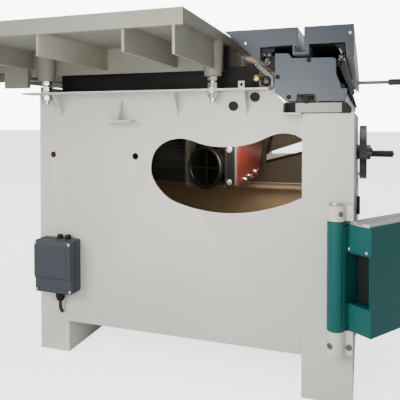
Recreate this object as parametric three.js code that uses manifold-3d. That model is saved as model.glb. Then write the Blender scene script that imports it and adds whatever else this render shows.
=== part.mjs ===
// Sliding-table panel saw: steel cabinet, cast tables, tilting and lifting saw unit,
// sliding table on its base rail and a hinged swing arm. Millimetres, +Z up, floor at z = 0.
// X runs across the machine (right is +X, the sliding table side), Y along the cut
// (front is +Y, rear is -Y, the outfeed end).
import * as THREE from "three";
import { mergeVertices } from "three/addons/utils/BufferGeometryUtils.js";
import Module from "manifold-3d";

const manifold = await Module();
manifold.setup();

// ---- driving dimensions ----
// Points across the X axis are [y, z], across Y [x, z] and across Z [x, y].
const FRAME_OFFSET = [-36.5, -102.5]; // puts the middle of the footprint on the origin
const TABLE_Z = 870; // work surface height
const PLATE = 22; // cast table plate thickness
const CAB_X = 430.5; // half width of the cabinet
const CAB_Y = 380; // half depth of the cabinet
const SHEET = 3; // cabinet sheet thickness
const PANEL_BOTTOM = 89;
const FLANGE_TOP = 731;
const LEDGE_Z = 671;
const COLUMN = { left: 314, right: 430.4, rear: -411, front: -352 }; // rear rail column
const RAIL_Y = [-405, 883]; // base rail ends
const SLIDE_Y = [-411, 889]; // sliding table ends
const STUD_X = { right: 95, left: -389 }; // studs carrying the main table
const STUD_Y = -405;
const PIVOT_X = 74; // blade plane; the tilt axis is this line at table height
const BLADE_R = 157.5;
const ARBOR = [0, TABLE_Z + 60 - BLADE_R]; // blade rises 60 above the table
const SCORE_R = 60;
const SCORE = [235, 812]; // scoring blade axis
const MOTOR = [50, 530];
const MOTOR_R = 80;
const DUST = [-33, 505]; // dust port axis
const ARM = { x: 393, y: -447, direction: [0.6, 0.8] }; // swing arm hinge and heading
const WHEEL_R = 80;
const TILT_WHEEL = [-15, 560]; // on the right wall
const LIFT_WHEEL = [-60, 600]; // on the front wall
const LATCH = [-277, 430];

const LOOKS = {
  paint: { color: 0xc9c9c2, roughness: 0.5, metalness: 0.05 },
  cast: { color: 0xb9bab4, roughness: 0.55, metalness: 0.2 },
  slate: { color: 0x747b87, roughness: 0.45, metalness: 0.3 },
  aluminium: { color: 0xc4c8cc, roughness: 0.35, metalness: 0.9 },
  teal: { color: 0x2c7878, roughness: 0.45, metalness: 0.05 },
  black: { color: 0x17181a, roughness: 0.5, metalness: 0 },
  red: { color: 0x96281e, roughness: 0.45, metalness: 0.05 },
  steel: { color: 0xb0b3b6, roughness: 0.3, metalness: 0.95 },
  boxGrey: { color: 0x2b323b, roughness: 0.55, metalness: 0 },
  rubber: { color: 0x101010, roughness: 0.85, metalness: 0 },
  grey: { color: 0x555a5e, roughness: 0.5, metalness: 0.3 },
  greenButton: { color: 0x2f7d3a, roughness: 0.5, metalness: 0 },
  redButton: { color: 0xa02018, roughness: 0.5, metalness: 0 },
};

// ---- solids ----
function solid(geometry) {
  geometry.deleteAttribute("normal");
  geometry.deleteAttribute("uv");
  const merged = mergeVertices(geometry, 1e-4);
  const corners = merged.index.array;
  const triangles = [];
  for (let i = 0; i < corners.length; i += 3) {
    const [a, b, c] = corners.subarray(i, i + 3);
    if (a !== b && b !== c && a !== c) triangles.push(a, b, c);
  }
  return new manifold.Manifold(new manifold.Mesh({
    numProp: 3,
    vertProperties: new Float32Array(merged.attributes.position.array),
    triVerts: new Uint32Array(triangles),
  }));
}

const join = (first, ...rest) => rest.reduce((sum, piece) => sum.add(piece), first);
const cut = (body, ...tools) => tools.reduce((left, tool) => left.subtract(tool), body);

const box = (x0, x1, y0, y1, z0, z1) => solid(
  new THREE.BoxGeometry(x1 - x0, y1 - y0, z1 - z0)
    .translate((x0 + x1) / 2, (y0 + y1) / 2, (z0 + z1) / 2),
);
// rows: [x0, x1, y0, y1, z0, z1]
const boxes = (...rows) => join(...rows.map((row) => box(...row)));

// applies the top three rows of a matrix
const transform = (geometry, ...rows) =>
  geometry.applyMatrix4(new THREE.Matrix4().set(...rows, 0, 0, 0, 1));

function cylinder(axis, [p, q], radius, from, to, segments = 24, endRadius = radius) {
  const g = new THREE.CylinderGeometry(endRadius, radius, to - from, segments)
    .translate(0, (from + to) / 2, 0);
  if (axis === "x") return solid(transform(g, 0, 1, 0, 0, 0, 0, 1, p, 1, 0, 0, q));
  if (axis === "y") return solid(transform(g, 0, 0, 1, p, 0, 1, 0, 0, -1, 0, 0, q));
  return solid(transform(g, 1, 0, 0, p, 0, 0, -1, q, 0, 1, 0, 0));
}
// coaxial cylinders; rows: [radius, from, to, segments]
const turned = (axis, centre, ...rows) =>
  join(...rows.map((row) => cylinder(axis, centre, ...row)));

// outline extruded along X or Y
function prism(axis, outline, from, to, hole) {
  const toVectors = (points) => points.map((point) => new THREE.Vector2(...point));
  const shape = new THREE.Shape(toVectors(outline));
  if (hole) shape.holes.push(new THREE.Path(toVectors(hole)));
  const g = new THREE.ExtrudeGeometry(shape, { depth: to - from, bevelEnabled: false });
  if (axis === "x") return solid(transform(g, 0, 0, 1, from, 1, 0, 0, 0, 0, 1, 0, 0));
  return solid(transform(g, 1, 0, 0, 0, 0, 0, -1, to, 0, 1, 0, 0));
}

const arc = (centre, radius, start, end, steps) =>
  Array.from({ length: steps + 1 }, (_, i) => {
    const angle = start + ((end - start) * i) / steps;
    return [centre[0] + radius * Math.cos(angle), centre[1] + radius * Math.sin(angle)];
  });

// outline round two circles, joined by their tangents
function capsule(centre1, radius1, centre2, radius2, steps = 12) {
  const dx = centre2[0] - centre1[0];
  const dy = centre2[1] - centre1[1];
  const heading = Math.atan2(dy, dx);
  const spread = Math.acos((radius1 - radius2) / Math.hypot(dx, dy));
  return [
    ...arc(centre2, radius2, heading - spread, heading + spread, steps),
    ...arc(centre1, radius1, heading + spread, heading + 2 * Math.PI - spread, steps),
  ];
}

const root = new THREE.Group();
const frame = new THREE.Group();
frame.position.set(...FRAME_OFFSET, 0);
root.add(frame);

function part(name, body, look, parent = frame) {
  const { vertProperties, triVerts } = body.getMesh();
  const geometry = new THREE.BufferGeometry();
  geometry.setAttribute("position", new THREE.BufferAttribute(vertProperties, 3));
  geometry.setIndex(new THREE.BufferAttribute(triVerts, 1));
  geometry.computeVertexNormals();
  const mesh = new THREE.Mesh(geometry, new THREE.MeshStandardMaterial(look));
  mesh.name = name;
  parent.add(mesh);
}

// ---- cabinet ----
// stepped top edge of the front wall and rear panel, [x, z]
const STEPPED_TOP = [[265, LEDGE_Z], [265, 700], [237, FLANGE_TOP], [-CAB_X, FLANGE_TOP]];
{
  const rear = -CAB_Y + 3;
  const inside = CAB_Y - SHEET; // inner face of the front wall
  const columnFront = COLUMN.front + 0.4;
  const foot = 337; // inner edge of the foot channels
  const floor = PANEL_BOTTOM - SHEET;
  const sheets = boxes(
    [-CAB_X, -CAB_X + SHEET, rear, CAB_Y, 0, 751], // left wall, runs up inside the table
    [-CAB_X, -foot, rear, CAB_Y, 0, SHEET], // left foot channel
    [-foot - SHEET, -foot, rear, CAB_Y, 0, PANEL_BOTTOM],
    [-CAB_X, -foot, inside, CAB_Y, 0, PANEL_BOTTOM],
    [-CAB_X, COLUMN.left - 0.4, rear, CAB_Y, floor, PANEL_BOTTOM], // floor pan
    [COLUMN.left - 1, CAB_X, columnFront, CAB_Y, floor, PANEL_BOTTOM],
    [-CAB_X, -385, rear, CAB_Y, 728, FLANGE_TOP], // top returns
    [-CAB_X, 237, 364, CAB_Y, 728, FLANGE_TOP],
    [CAB_X - SHEET, CAB_X, columnFront, CAB_Y, 0, LEDGE_Z], // right wall
    [foot, CAB_X, columnFront, CAB_Y, 0, SHEET], // right foot channel
    [foot, foot + SHEET, columnFront, CAB_Y, 0, PANEL_BOTTOM],
    [foot, CAB_X, inside, CAB_Y, 0, PANEL_BOTTOM],
    [395, CAB_X, columnFront, 300, 668, LEDGE_Z], // ledge on the right wall
  );
  const frontWall = [[-CAB_X, floor], [CAB_X, floor], [CAB_X, LEDGE_Z], ...STEPPED_TOP];
  const scaleWindow = [[104, 527], [300, 533], [300, 592], [104, 566]];
  const throughRight = [CAB_X - 10, CAB_X + 10];
  const throughFront = [CAB_Y - 10, CAB_Y + 10];
  part("cabinet_shell", cut(
    join(sheets, prism("y", frontWall, inside, CAB_Y)),
    box(...throughRight, -285, 285, 125, 460), // access opening
    cylinder("x", TILT_WHEEL, 13, ...throughRight),
    cylinder("y", LIFT_WHEEL, 13, ...throughFront),
    prism("y", capsule([-300, 200], 40, [100, 200], 40, 8), ...throughFront), // inlet slot
    prism("y", scaleWindow, ...throughFront),
  ), LOOKS.paint);
}
{
  // curved edge of the rear opening, [x, z], from the lower right round to the upper right
  const curvePoints = [
    [276.4, 451.1], [226.5, 434.8], [175.5, 423.8], [136.3, 420], [96.4, 419.7],
    [55.6, 424.1], [13.9, 432.3], [-28.6, 447.3], [-54.6, 467.6], [-74.8, 493.6],
    [-83.8, 517.4], [-83.8, 533.8], [-80.9, 552.7], [-69.1, 577.2], [-42.9, 597.8],
    [-2.9, 607.3], [27.9, 602.5], [55.6, 593.6], [88.4, 587.7], [120.5, 586.4],
    [154.8, 589.4], [178.3, 594], [203.9, 601.9], [229.2, 613.5], [249, 620.2],
    [271.3, 622.3], [293.4, 618.8],
  ];
  const curve = new THREE.CatmullRomCurve3(
    curvePoints.map(([x, z]) => new THREE.Vector3(x, z, 0)),
  );
  const smooth = curve.getPoints(72).map(({ x, y }) => [x, y]);
  const opening = [[320, 471], ...smooth, [320, 604]];
  const right = 313.7;
  const inside = -CAB_Y + 2.7;
  const sheet = [
    [-CAB_X, 0], [-337, 0], [-337, PANEL_BOTTOM], [right, PANEL_BOTTOM],
    [right, LEDGE_Z], ...STEPPED_TOP,
  ];
  const gusset = [[-379, 727], [-424, 727], [-379, 666]];
  const body = join(
    prism("y", sheet, -CAB_Y, inside),
    box(-455, 237, -427, inside, 726, FLANGE_TOP), // top flange
    box(262, right, -427, inside, 667, LEDGE_Z), // ledge flange
    ...[-357, -7, 176].map((x) => prism("x", gusset, x - 2, x + 2)),
    box(-209, -129, -415, -379, 649.5, 654.5), // small shelf and its web
    prism("x", [[-379, 714], [-379, 653], [-412, 653]], -171, -167),
    box(164, 179, -424, -420, 730, 748), // small upright tab on the flange
  );
  // holes through the panel: [x, z, radius, segments]
  const holes = [[-386.5, 558, 9, 20], [-130, 558, 9, 20], [141, 689.5, 8, 16], [196, 711, 8, 16]];
  part("rear_panel", cut(
    body,
    box(168, 175, -430, -414, 736, 743), // hole in the tab
    prism("y", opening, -390, -370),
    ...holes.map(([x, z, radius, n]) => cylinder("y", [x, z], radius, -390, -370, n)),
    ...Object.values(STUD_X).map((x) => cylinder("z", [x, STUD_Y], 8.8, 720, 740, 16)),
  ), LOOKS.paint);
}
{
  const { left, right, rear, front } = COLUMN;
  const wall = 4;
  const column = (y0, y1) => cut(
    box(left, right, y0, y1, 0, 670),
    box(left + wall, right - wall, y0 + wall, y1 - wall, -1, 664),
  );
  part("rail_column", column(rear, front), LOOKS.paint);
  part("front_column", join(column(381, 440), box(298, 404, 381, 440, 669, 694)), LOOKS.paint);
  part("rail_bracket_rear", boxes(
    [298, 404, rear, -345, 671.4, 694],
    [404, 418, rear + 6, -350, 673, 690],
  ), LOOKS.paint);
}
part("access_cover", cut(
  box(CAB_X + 0.3, CAB_X + 3.3, -300, 300, 110, 474),
  cylinder("x", LATCH, 5, 420, 440, 12),
), LOOKS.paint);
part("cover_latch", join(
  prism("x", capsule(LATCH, 13, [LATCH[0], 458], 6, 8), 434.2, 443),
  cylinder("x", LATCH, 4.6, 424, 435, 12),
), LOOKS.black);

// ---- base rail and sliding table ----
const groove = (x0, x1, z0, z1) => box(x0, x1, -1000, 1000, z0, z1);

// plates closing both ends of an extrusion
function endCaps(name, outline, [rear, front], ...tools) {
  const spans = { rear: [rear - 6, rear - 0.3], front: [front + 0.3, front + 6] };
  for (const [end, span] of Object.entries(spans))
    part(`${name}_${end}`, cut(prism("y", outline, ...span), ...tools), LOOKS.slate);
}
{
  // rail section, [x, z]
  const outline = [
    [250.2, 812], [282.8, 810.6], [289.1, 799.6], [382.9, 797.5], [389.7, 793.7],
    [390.4, 758.8], [403.1, 728.8], [415.6, 724.9], [410.6, 699.1], [408.8, 696.9],
    [348.7, 697.3], [344.4, 714.2], [303.3, 715], [300.5, 698], [274.6, 698.3],
    [247.6, 721.5], [250.2, 779.6],
  ];
  part("base_rail", cut(
    prism("y", outline, ...RAIL_Y),
    groove(256, 298, 726, 792),
    groove(303, 346, 722, 792),
    groove(351, 384, 706, 792),
  ), LOOKS.aluminium);
  endCaps("rail_cap", outline, RAIL_Y);
  part("rail_clamp_rear", join(
    box(306, 341, -402, -362, 694.3, 699),
    cylinder("z", [323, -382], 6, 698, 710, 16),
    box(309, 338, -398, -366, 703, 712),
  ), LOOKS.black);
  for (const [side, x] of [["left", 230.5], ["right", 402]]) {
    const rod = cylinder("y", [x, 797], 7, RAIL_Y[0] + 1, RAIL_Y[1] - 1, 20);
    part(`guide_rod_${side}`, rod, LOOKS.steel);
  }
}
{
  // sliding table section, [x, z]
  const outline = [
    [125.5, TABLE_Z], [156.8, 844], [204, 801], [211, 797], [216, 797], [216, 826],
    [292, 829], [292, 806], [330, 806], [330, 829], [410, 829], [412.5, 797],
    [428.6, 796], [428.6, TABLE_Z],
  ];
  const tSlot = join(groove(297, 325, 812, 826), groove(304, 318, 825, 880));
  part("sliding_table", cut(
    prism("y", outline, ...SLIDE_Y),
    tSlot,
    groove(222, 284, 836, 862),
    groove(338, 404, 836, 862),
    prism("y", [[170, 862], [196, 862], [196, 824]], -1000, 1000),
  ), LOOKS.aluminium);
  endCaps("table_cap", outline, SLIDE_Y, tSlot);
}

// ---- cast tables ----
{
  const under = TABLE_Z - PLATE;
  const ribTop = under + 1;
  const [rear, front] = [-690, 410];
  const [left, right] = [-455, 121]; // main table
  const body = boxes(
    [left, right, rear, front, under, TABLE_Z],
    [99, 105, rear, -285, 780, ribTop], // ribs and rims
    [left, 105, -386, -376, 780, ribTop],
    [left, right, rear, rear + 10, 836, ribTop],
    [left, left + 10, rear, front, 800, ribTop],
    [left, right, front - 10, front, 800, ribTop],
    [-215, -209, rear + 5, front - 5, 790, ribTop],
    [-12, -6, rear + 5, -240, 790, ribTop],
    [-420, -340, 346, 372, 731.5, ribTop], // front feet on the cabinet
    [-150, -80, 352, 376, 731.5, ribTop],
  );
  const bosses = Object.values(STUD_X).map((x) =>
    cylinder("z", [x, STUD_Y], 22, 763, ribTop, 20, 26));
  // blade opening, enlarged all round by a margin
  const opening = (margin, z0, z1) =>
    box(54 - margin, 100 + margin, -200 - margin, 320 + margin, z0, z1);
  part("main_table", cut(
    join(body, ...bosses),
    opening(0, under - 5, TABLE_Z + 5),
    opening(4, TABLE_Z - 5.3, TABLE_Z + 5),
  ), LOOKS.cast);
  part("table_insert", cut(
    opening(3.6, TABLE_Z - 5, TABLE_Z - 0.2),
    box(70.5, 83, -196, 300, 800, 900),
  ), LOOKS.aluminium);

  const [wingLeft, wingRight] = [-820, -455.4];
  part("extension_wing", boxes(
    [wingLeft, wingRight, rear, front, under, TABLE_Z],
    [wingLeft, wingLeft + 10, rear, front, 800, ribTop],
    [wingRight - 10, wingRight, rear, front, 800, ribTop],
    [-815, -460, rear, rear + 10, 836, ribTop],
    ...[-386, -100, 190, 400].map((y) => [-815, -460, y, y + 10, 795, ribTop]),
    [-640, -634, rear + 5, front - 5, 795, ribTop], // stiffening rib
    [-536, -457, -400, -386, 747, under], // tie lug
  ), LOOKS.cast);

  for (const [side, x] of Object.entries(STUD_X))
    part(`table_stud_${side}`, turned("z", [x, STUD_Y],
      [8, 699, 762.7, 16], // shank
      [17, 731.3, 735, 20], // washer and nut above the flange
      [14, 734.9, 747, 6],
      [17, 722, 725.7, 20], // washer and nut below the flange
      [14, 710, 722.1, 6],
      [14, 752, 762.7, 6], // nut under the table
    ), LOOKS.steel);
}

// ---- starter box and switches ----
{
  part("starter_box_base", box(-417, -299, -404, -380.3, 178, 325), LOOKS.boxGrey);
  const profile = [
    [-404.3, 323], [-404.3, 180], [-426, 180], [-426, 216], [-432, 226], [-432, 312], [-424, 323],
  ];
  part("starter_box_cover", cut(
    prism("x", profile, -415, -301),
    ...[-408, -308].map((x) => cylinder("y", [x, 187], 3.5, -440, -420, 12)),
  ), LOOKS.boxGrey);
  const gland = turned("z", [-357, -393], [13, 156, 170, 6], [10, 150, 177.7, 16]);
  part("cable_gland", gland, LOOKS.black);

  const start = [-340, 665];
  const stop = [-340, 605];
  part("switch_box", cut(
    box(-380, -300, 380.3, 420, 560, 700),
    cylinder("y", start, 14.6, 408, 430, 20),
    cylinder("y", stop, 18.6, 408, 430, 20),
  ), LOOKS.black);
  part("start_button", cylinder("y", start, 14, 413, 424, 20), LOOKS.greenButton);
  part("stop_button", turned("y", stop, [10, 413, 424, 20], [18, 424, 432, 20]), LOOKS.redButton);
}

// ---- swing arm ----
{
  const hinge = [ARM.x, ARM.y];
  const bracket = (z0, z1) => cut(
    box(374, 430, ARM.y, -411.3, z0, z1),
    cylinder("z", hinge, 10.3, z0 - 1, z1 + 1),
  ).add(cut(cylinder("z", hinge, 20, z0, z1), cylinder("z", hinge, 10.3, z0 - 1, z1 + 1)));
  part("arm_bracket_upper", bracket(431, 465), LOOKS.paint);
  part("arm_bracket_lower", bracket(132, 186), LOOKS.paint);
  part("hinge_pin", turned("z", hinge, [10, 128, 466], [14, 465.3, 471]), LOOKS.steel);

  const arm = new THREE.Group(); // origin on the hinge, local x across the arm, y along it
  arm.position.set(ARM.x, ARM.y, 0);
  arm.rotation.z = -Math.atan2(...ARM.direction);
  frame.add(arm);
  part("swing_arm", cut(
    join(
      box(13, 78, 20, 640, 187, 422),
      cylinder("z", [0, 0], 19, 187.5, 430),
      box(5, 20, 4, 40, 196, 418),
    ),
    box(15.5, 75.5, 26, 641, 240, 372), // middle cell and its mouth at the hinge end
    box(15.5, 75, 10, 30, 248, 361),
    box(15.5, 75.5, 26, 641, 374.5, 419.5), // upper and lower cells
    box(15.5, 75.5, 26, 641, 189.5, 237.5),
    cylinder("z", [0, 0], 10.4, 180, 440),
  ), LOOKS.teal, arm);
  part("inner_arm", cut(
    join(
      boxes([27, 70, 44, 700, 250, 366], [27, 70, 699, 740, 250, 420]),
      cylinder("z", [48.5, 720], 18, 419, 470, 20),
    ),
    box(32, 65, 40, 690, 258, 358),
  ), LOOKS.grey, arm);
  part("arm_top_rail", cut(
    box(20, 71, 22, 640, 422.3, 430),
    box(38, 53, 20, 642, 426, 431),
  ), LOOKS.aluminium, arm);
}

// ---- tilting frame ----
{
  const pivot = [PIVOT_X, TABLE_Z];
  const [start, end] = [-165, -75].map(THREE.MathUtils.degToRad);
  const segment = [...arc(pivot, 190, start, end, 24), ...arc(pivot, 150, end, start, 24)];
  part("trunnion_rear", prism("y", segment, -205, -191), LOOKS.cast);
  part("trunnion_front", prism("y", segment, 330, 344), LOOKS.cast);
  const bracket = [[12, 847.7], [118, 847.7], [118, 815], [100, 675], [30, 675]];
  part("trunnion_bracket_rear", prism("y", bracket, -221, -205.4), LOOKS.cast);
  part("trunnion_bracket_front", prism("y", bracket, 344.4, 360), LOOKS.cast);
  part("tilt_frame", cut(
    box(-118, -104, -190.7, 329.7, 665, 838),
    box(-125, -95, -30, 30, 700, 800),
    box(-125, -95, -160, -90, 700, 810),
    box(-125, -95, 270, 310, 700, 790),
  ), LOOKS.cast);
  part("scoring_housing", cut(
    join(cylinder("x", SCORE, 18, -103.7, 50, 20), box(-103.7, -92, 212, 262, 780, 836)),
    cylinder("x", SCORE, 8.6, -80, 60, 16),
  ), LOOKS.cast);
  part("scoring_blade", turned("x", SCORE,
    [8, -78, 82, 16], [SCORE_R, 72.5, 75.5, 40], [18, 66, 81, 20],
  ), LOOKS.steel);
}

// ---- lifting saw unit ----
{
  part("lift_carriage", cut(
    boxes(
      [-103.6, -89, -60, 200, 440, 800],
      [-89.1, -82, -186, -52, 720, 744],
      [-89.1, -82, -60, 200, 440, 452],
    ),
    cylinder("x", MOTOR, 22, -110, -80, 20),
    box(-110, -70, 20, 160, 640, 760),
  ), LOOKS.cast);
  part("arbor_housing", cut(
    join(
      cylinder("x", ARBOR, 32, -40, 50, 28),
      boxes([-88.7, -2, -60, -38, 745, 800], [-40, -2, -60, -20, 745, 800]),
    ),
    cylinder("x", ARBOR, 12.8, -60, 60, 20),
  ), LOOKS.cast);

  const teeth = 40;
  // corners of one tooth: [radius, fraction of the pitch]
  const corners = [[BLADE_R, 0], [BLADE_R - 1.5, 0.45], [BLADE_R - 8, 0.8]];
  const rim = [];
  for (let i = 0; i < teeth; i++)
    for (const [radius, fraction] of corners) {
      const angle = ((i + fraction) / teeth) * 2 * Math.PI;
      rim.push([ARBOR[0] + radius * Math.cos(angle), ARBOR[1] + radius * Math.sin(angle)]);
    }
  part("main_blade", cut(
    prism("x", rim, PIVOT_X - 1.6, PIVOT_X + 1.6),
    cylinder("x", ARBOR, 12.6, 60, 90, 20),
  ), LOOKS.steel);
  part("arbor_shaft", turned("x", ARBOR,
    [12, -84, 82, 20], [38, 64, 72.1, 28], [25, 75.9, 79, 28], [14, 78.9, 84, 6],
  ), LOOKS.steel);
  part("arbor_pulley", cut(
    cylinder("x", ARBOR, 30, -80, -50, 28),
    cylinder("x", ARBOR, 12.4, -90, -40, 20),
  ), LOOKS.grey);
  const motorPulley = turned("x", MOTOR, [45, -78, -50, 28], [10, -122, -50, 20]);
  part("motor_pulley", motorPulley, LOOKS.grey);
  const beltOuter = capsule(MOTOR, 51, ARBOR, 36, 16);
  const beltInner = capsule(MOTOR, 45.5, ARBOR, 30.5, 16);
  part("drive_belt", prism("x", beltOuter, -76, -54, beltInner), LOOKS.rubber);

  const [y, z] = MOTOR;
  part("motor_body", cut(
    join(
      turned("x", MOTOR, [MOTOR_R, -290, -118, 32], [66, -304, -289, 28]),
      box(-118.5, -103.9, y - 78, y + 78, z - 78, z + 78), // mounting flange
      box(-235, -160, y - 45, y + 45, z + 60, z + 112), // terminal box
    ),
    cylinder("x", MOTOR, 10.6, -126, -100, 20),
  ), LOOKS.black);
}
{
  // blade housing outlines, [y, z]
  const outer = [
    [-165, 760], [-165, 640], [-116, 590], [-116, 455], [180, 455], [300, 600], [300, 760],
  ];
  const inner = [
    [-162, 800], [-162, 641], [-113, 591], [-113, 458], [179, 458], [297, 601], [297, 800],
  ];
  part("blade_housing", cut(
    prism("x", outer, 52, 84.7),
    prism("x", inner, 55, 90),
    cylinder("x", DUST, 46, 50, 58, 36),
    prism("x", capsule(ARBOR, 40, [ARBOR[0], ARBOR[1] + 60], 40, 10), 50, 58),
    prism("x", capsule([SCORE[0], 800], 14, [SCORE[0], 740], 14, 8), 50, 58),
  ), LOOKS.red);
  part("housing_cover", prism("x", outer, 85, 87.6), LOOKS.red);
}
{
  // elbow: out of the housing along -X, then turned towards the rear opening
  const mouth = new THREE.Vector3(-0.41, -0.912, 0).normalize();
  const turn = new THREE.Quaternion().setFromUnitVectors(new THREE.Vector3(0, 1, 0), mouth);
  const place = (geometry) => solid(geometry.applyQuaternion(turn).translate(3, ...DUST));
  const tube = (radius, from, to) => place(
    new THREE.CylinderGeometry(radius, radius, to - from, 36).translate(0, (from + to) / 2, 0),
  );
  const ball = (radius) => place(new THREE.SphereGeometry(radius, 36, 18));
  const bar = (x, z) => place(new THREE.BoxGeometry(x, 5, z).translate(0, 60, 0));
  const shell = cut(
    join(
      box(41.4, 51.6, -99, 33, 438, 572),
      tube(60, 0, 70),
      tube(64, 62, 70),
      ball(60),
      cylinder("x", DUST, 60, 3, 45, 36),
    ),
    box(51.6, 200, -200, 200, 300, 700),
    tube(56, 0, 90),
    ball(56),
    cylinder("x", DUST, 54, 3, 60, 36),
  );
  part("dust_port", join(shell, bar(115, 4), bar(4, 115)), LOOKS.black); // bars cross the mouth
}
{
  const outline = [
    [-166, 718], [-166, 800], [-152, 850], [-130, 890], [-104, 922],
    [-114, 930], [-150, 903], [-178, 860], [-188, 810], [-188, 718],
  ];
  part("riving_knife", prism("x", outline, 72.6, 75.4), LOOKS.steel);
  part("knife_holder", box(-81.7, 72.2, -186, -168, 720, 744), LOOKS.grey);
}

// ---- handwheels and lock lever ----
const rimMiddle = WHEEL_R - 10;

// wheel on a wall face, with a peg for the grip; distances are from the face
function handwheel(axis, centre, wall) {
  const disc = (radius, from, to, segments, middle = centre) =>
    cylinder(axis, middle, radius, wall + from, wall + to, segments);
  const spokes = [0, 1, 2].map((i) => {
    const angle = (i * 2 * Math.PI) / 3 + Math.PI;
    const [end] = arc(centre, rimMiddle, angle, angle, 1);
    return prism(axis, capsule(centre, 11, end, 8, 6), wall + 12, wall + 22);
  });
  return join(
    cut(disc(WHEEL_R, 8, 29, 48), disc(WHEEL_R - 19, 0, 40, 40)),
    disc(22, 3, 40, 24),
    disc(10, -12.5, 4, 20),
    ...spokes,
    disc(4, 20, 102, 12, [centre[0] - rimMiddle, centre[1]]),
  );
}
for (const [name, axis, centre, wall, gripStart] of [
  ["tilt", "x", TILT_WHEEL, CAB_X, 473],
  ["lift", "y", LIFT_WHEEL, CAB_Y, 422],
]) {
  part(`${name}_handwheel`, handwheel(axis, centre, wall), LOOKS.grey);
  const peg = [centre[0] - rimMiddle, centre[1]];
  const gripEnd = gripStart + 57;
  part(`${name}_wheel_grip`, cut(
    cylinder(axis, peg, 9.5, gripStart, gripEnd, 20),
    cylinder(axis, peg, 4.4, gripStart - 2, gripEnd + 10, 12),
  ), LOOKS.black);
}
{
  const lever = [-350, 742];
  part("lock_lever", join(
    cylinder("y", [430, 742], 9, -360, -340, 20),
    cylinder("x", lever, 4, 432, 530, 16),
  ), LOOKS.steel);
  part("lock_lever_grip", cut(
    cylinder("x", lever, 7.4, 504, 580, 20),
    cylinder("x", lever, 4.4, 500, 534, 16),
  ), LOOKS.black);
}

export default root;
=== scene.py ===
import math

import bmesh
import bpy
from mathutils import Matrix, Vector


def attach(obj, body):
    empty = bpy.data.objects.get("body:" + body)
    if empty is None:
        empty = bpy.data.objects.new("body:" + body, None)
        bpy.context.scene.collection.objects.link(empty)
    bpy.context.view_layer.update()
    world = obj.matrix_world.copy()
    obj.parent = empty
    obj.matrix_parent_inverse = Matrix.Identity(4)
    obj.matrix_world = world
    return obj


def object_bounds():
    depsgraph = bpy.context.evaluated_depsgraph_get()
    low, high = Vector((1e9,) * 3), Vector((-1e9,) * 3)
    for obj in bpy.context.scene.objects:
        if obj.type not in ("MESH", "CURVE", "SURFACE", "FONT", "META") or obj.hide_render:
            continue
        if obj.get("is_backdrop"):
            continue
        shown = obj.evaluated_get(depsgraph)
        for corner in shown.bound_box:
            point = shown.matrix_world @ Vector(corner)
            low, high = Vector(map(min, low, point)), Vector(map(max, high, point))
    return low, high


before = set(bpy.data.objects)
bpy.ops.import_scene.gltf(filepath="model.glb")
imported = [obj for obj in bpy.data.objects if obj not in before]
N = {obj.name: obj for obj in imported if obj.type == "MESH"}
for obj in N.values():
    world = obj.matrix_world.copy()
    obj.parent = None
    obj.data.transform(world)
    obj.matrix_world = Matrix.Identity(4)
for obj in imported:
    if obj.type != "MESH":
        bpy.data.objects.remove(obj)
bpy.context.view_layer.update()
OX, OY = -36.5, -102.5  # layout axes (mm) to the model's frame


def D(x, y, z):
    return Vector(((x + OX) / 1000, (y + OY) / 1000, z / 1000))


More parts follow.
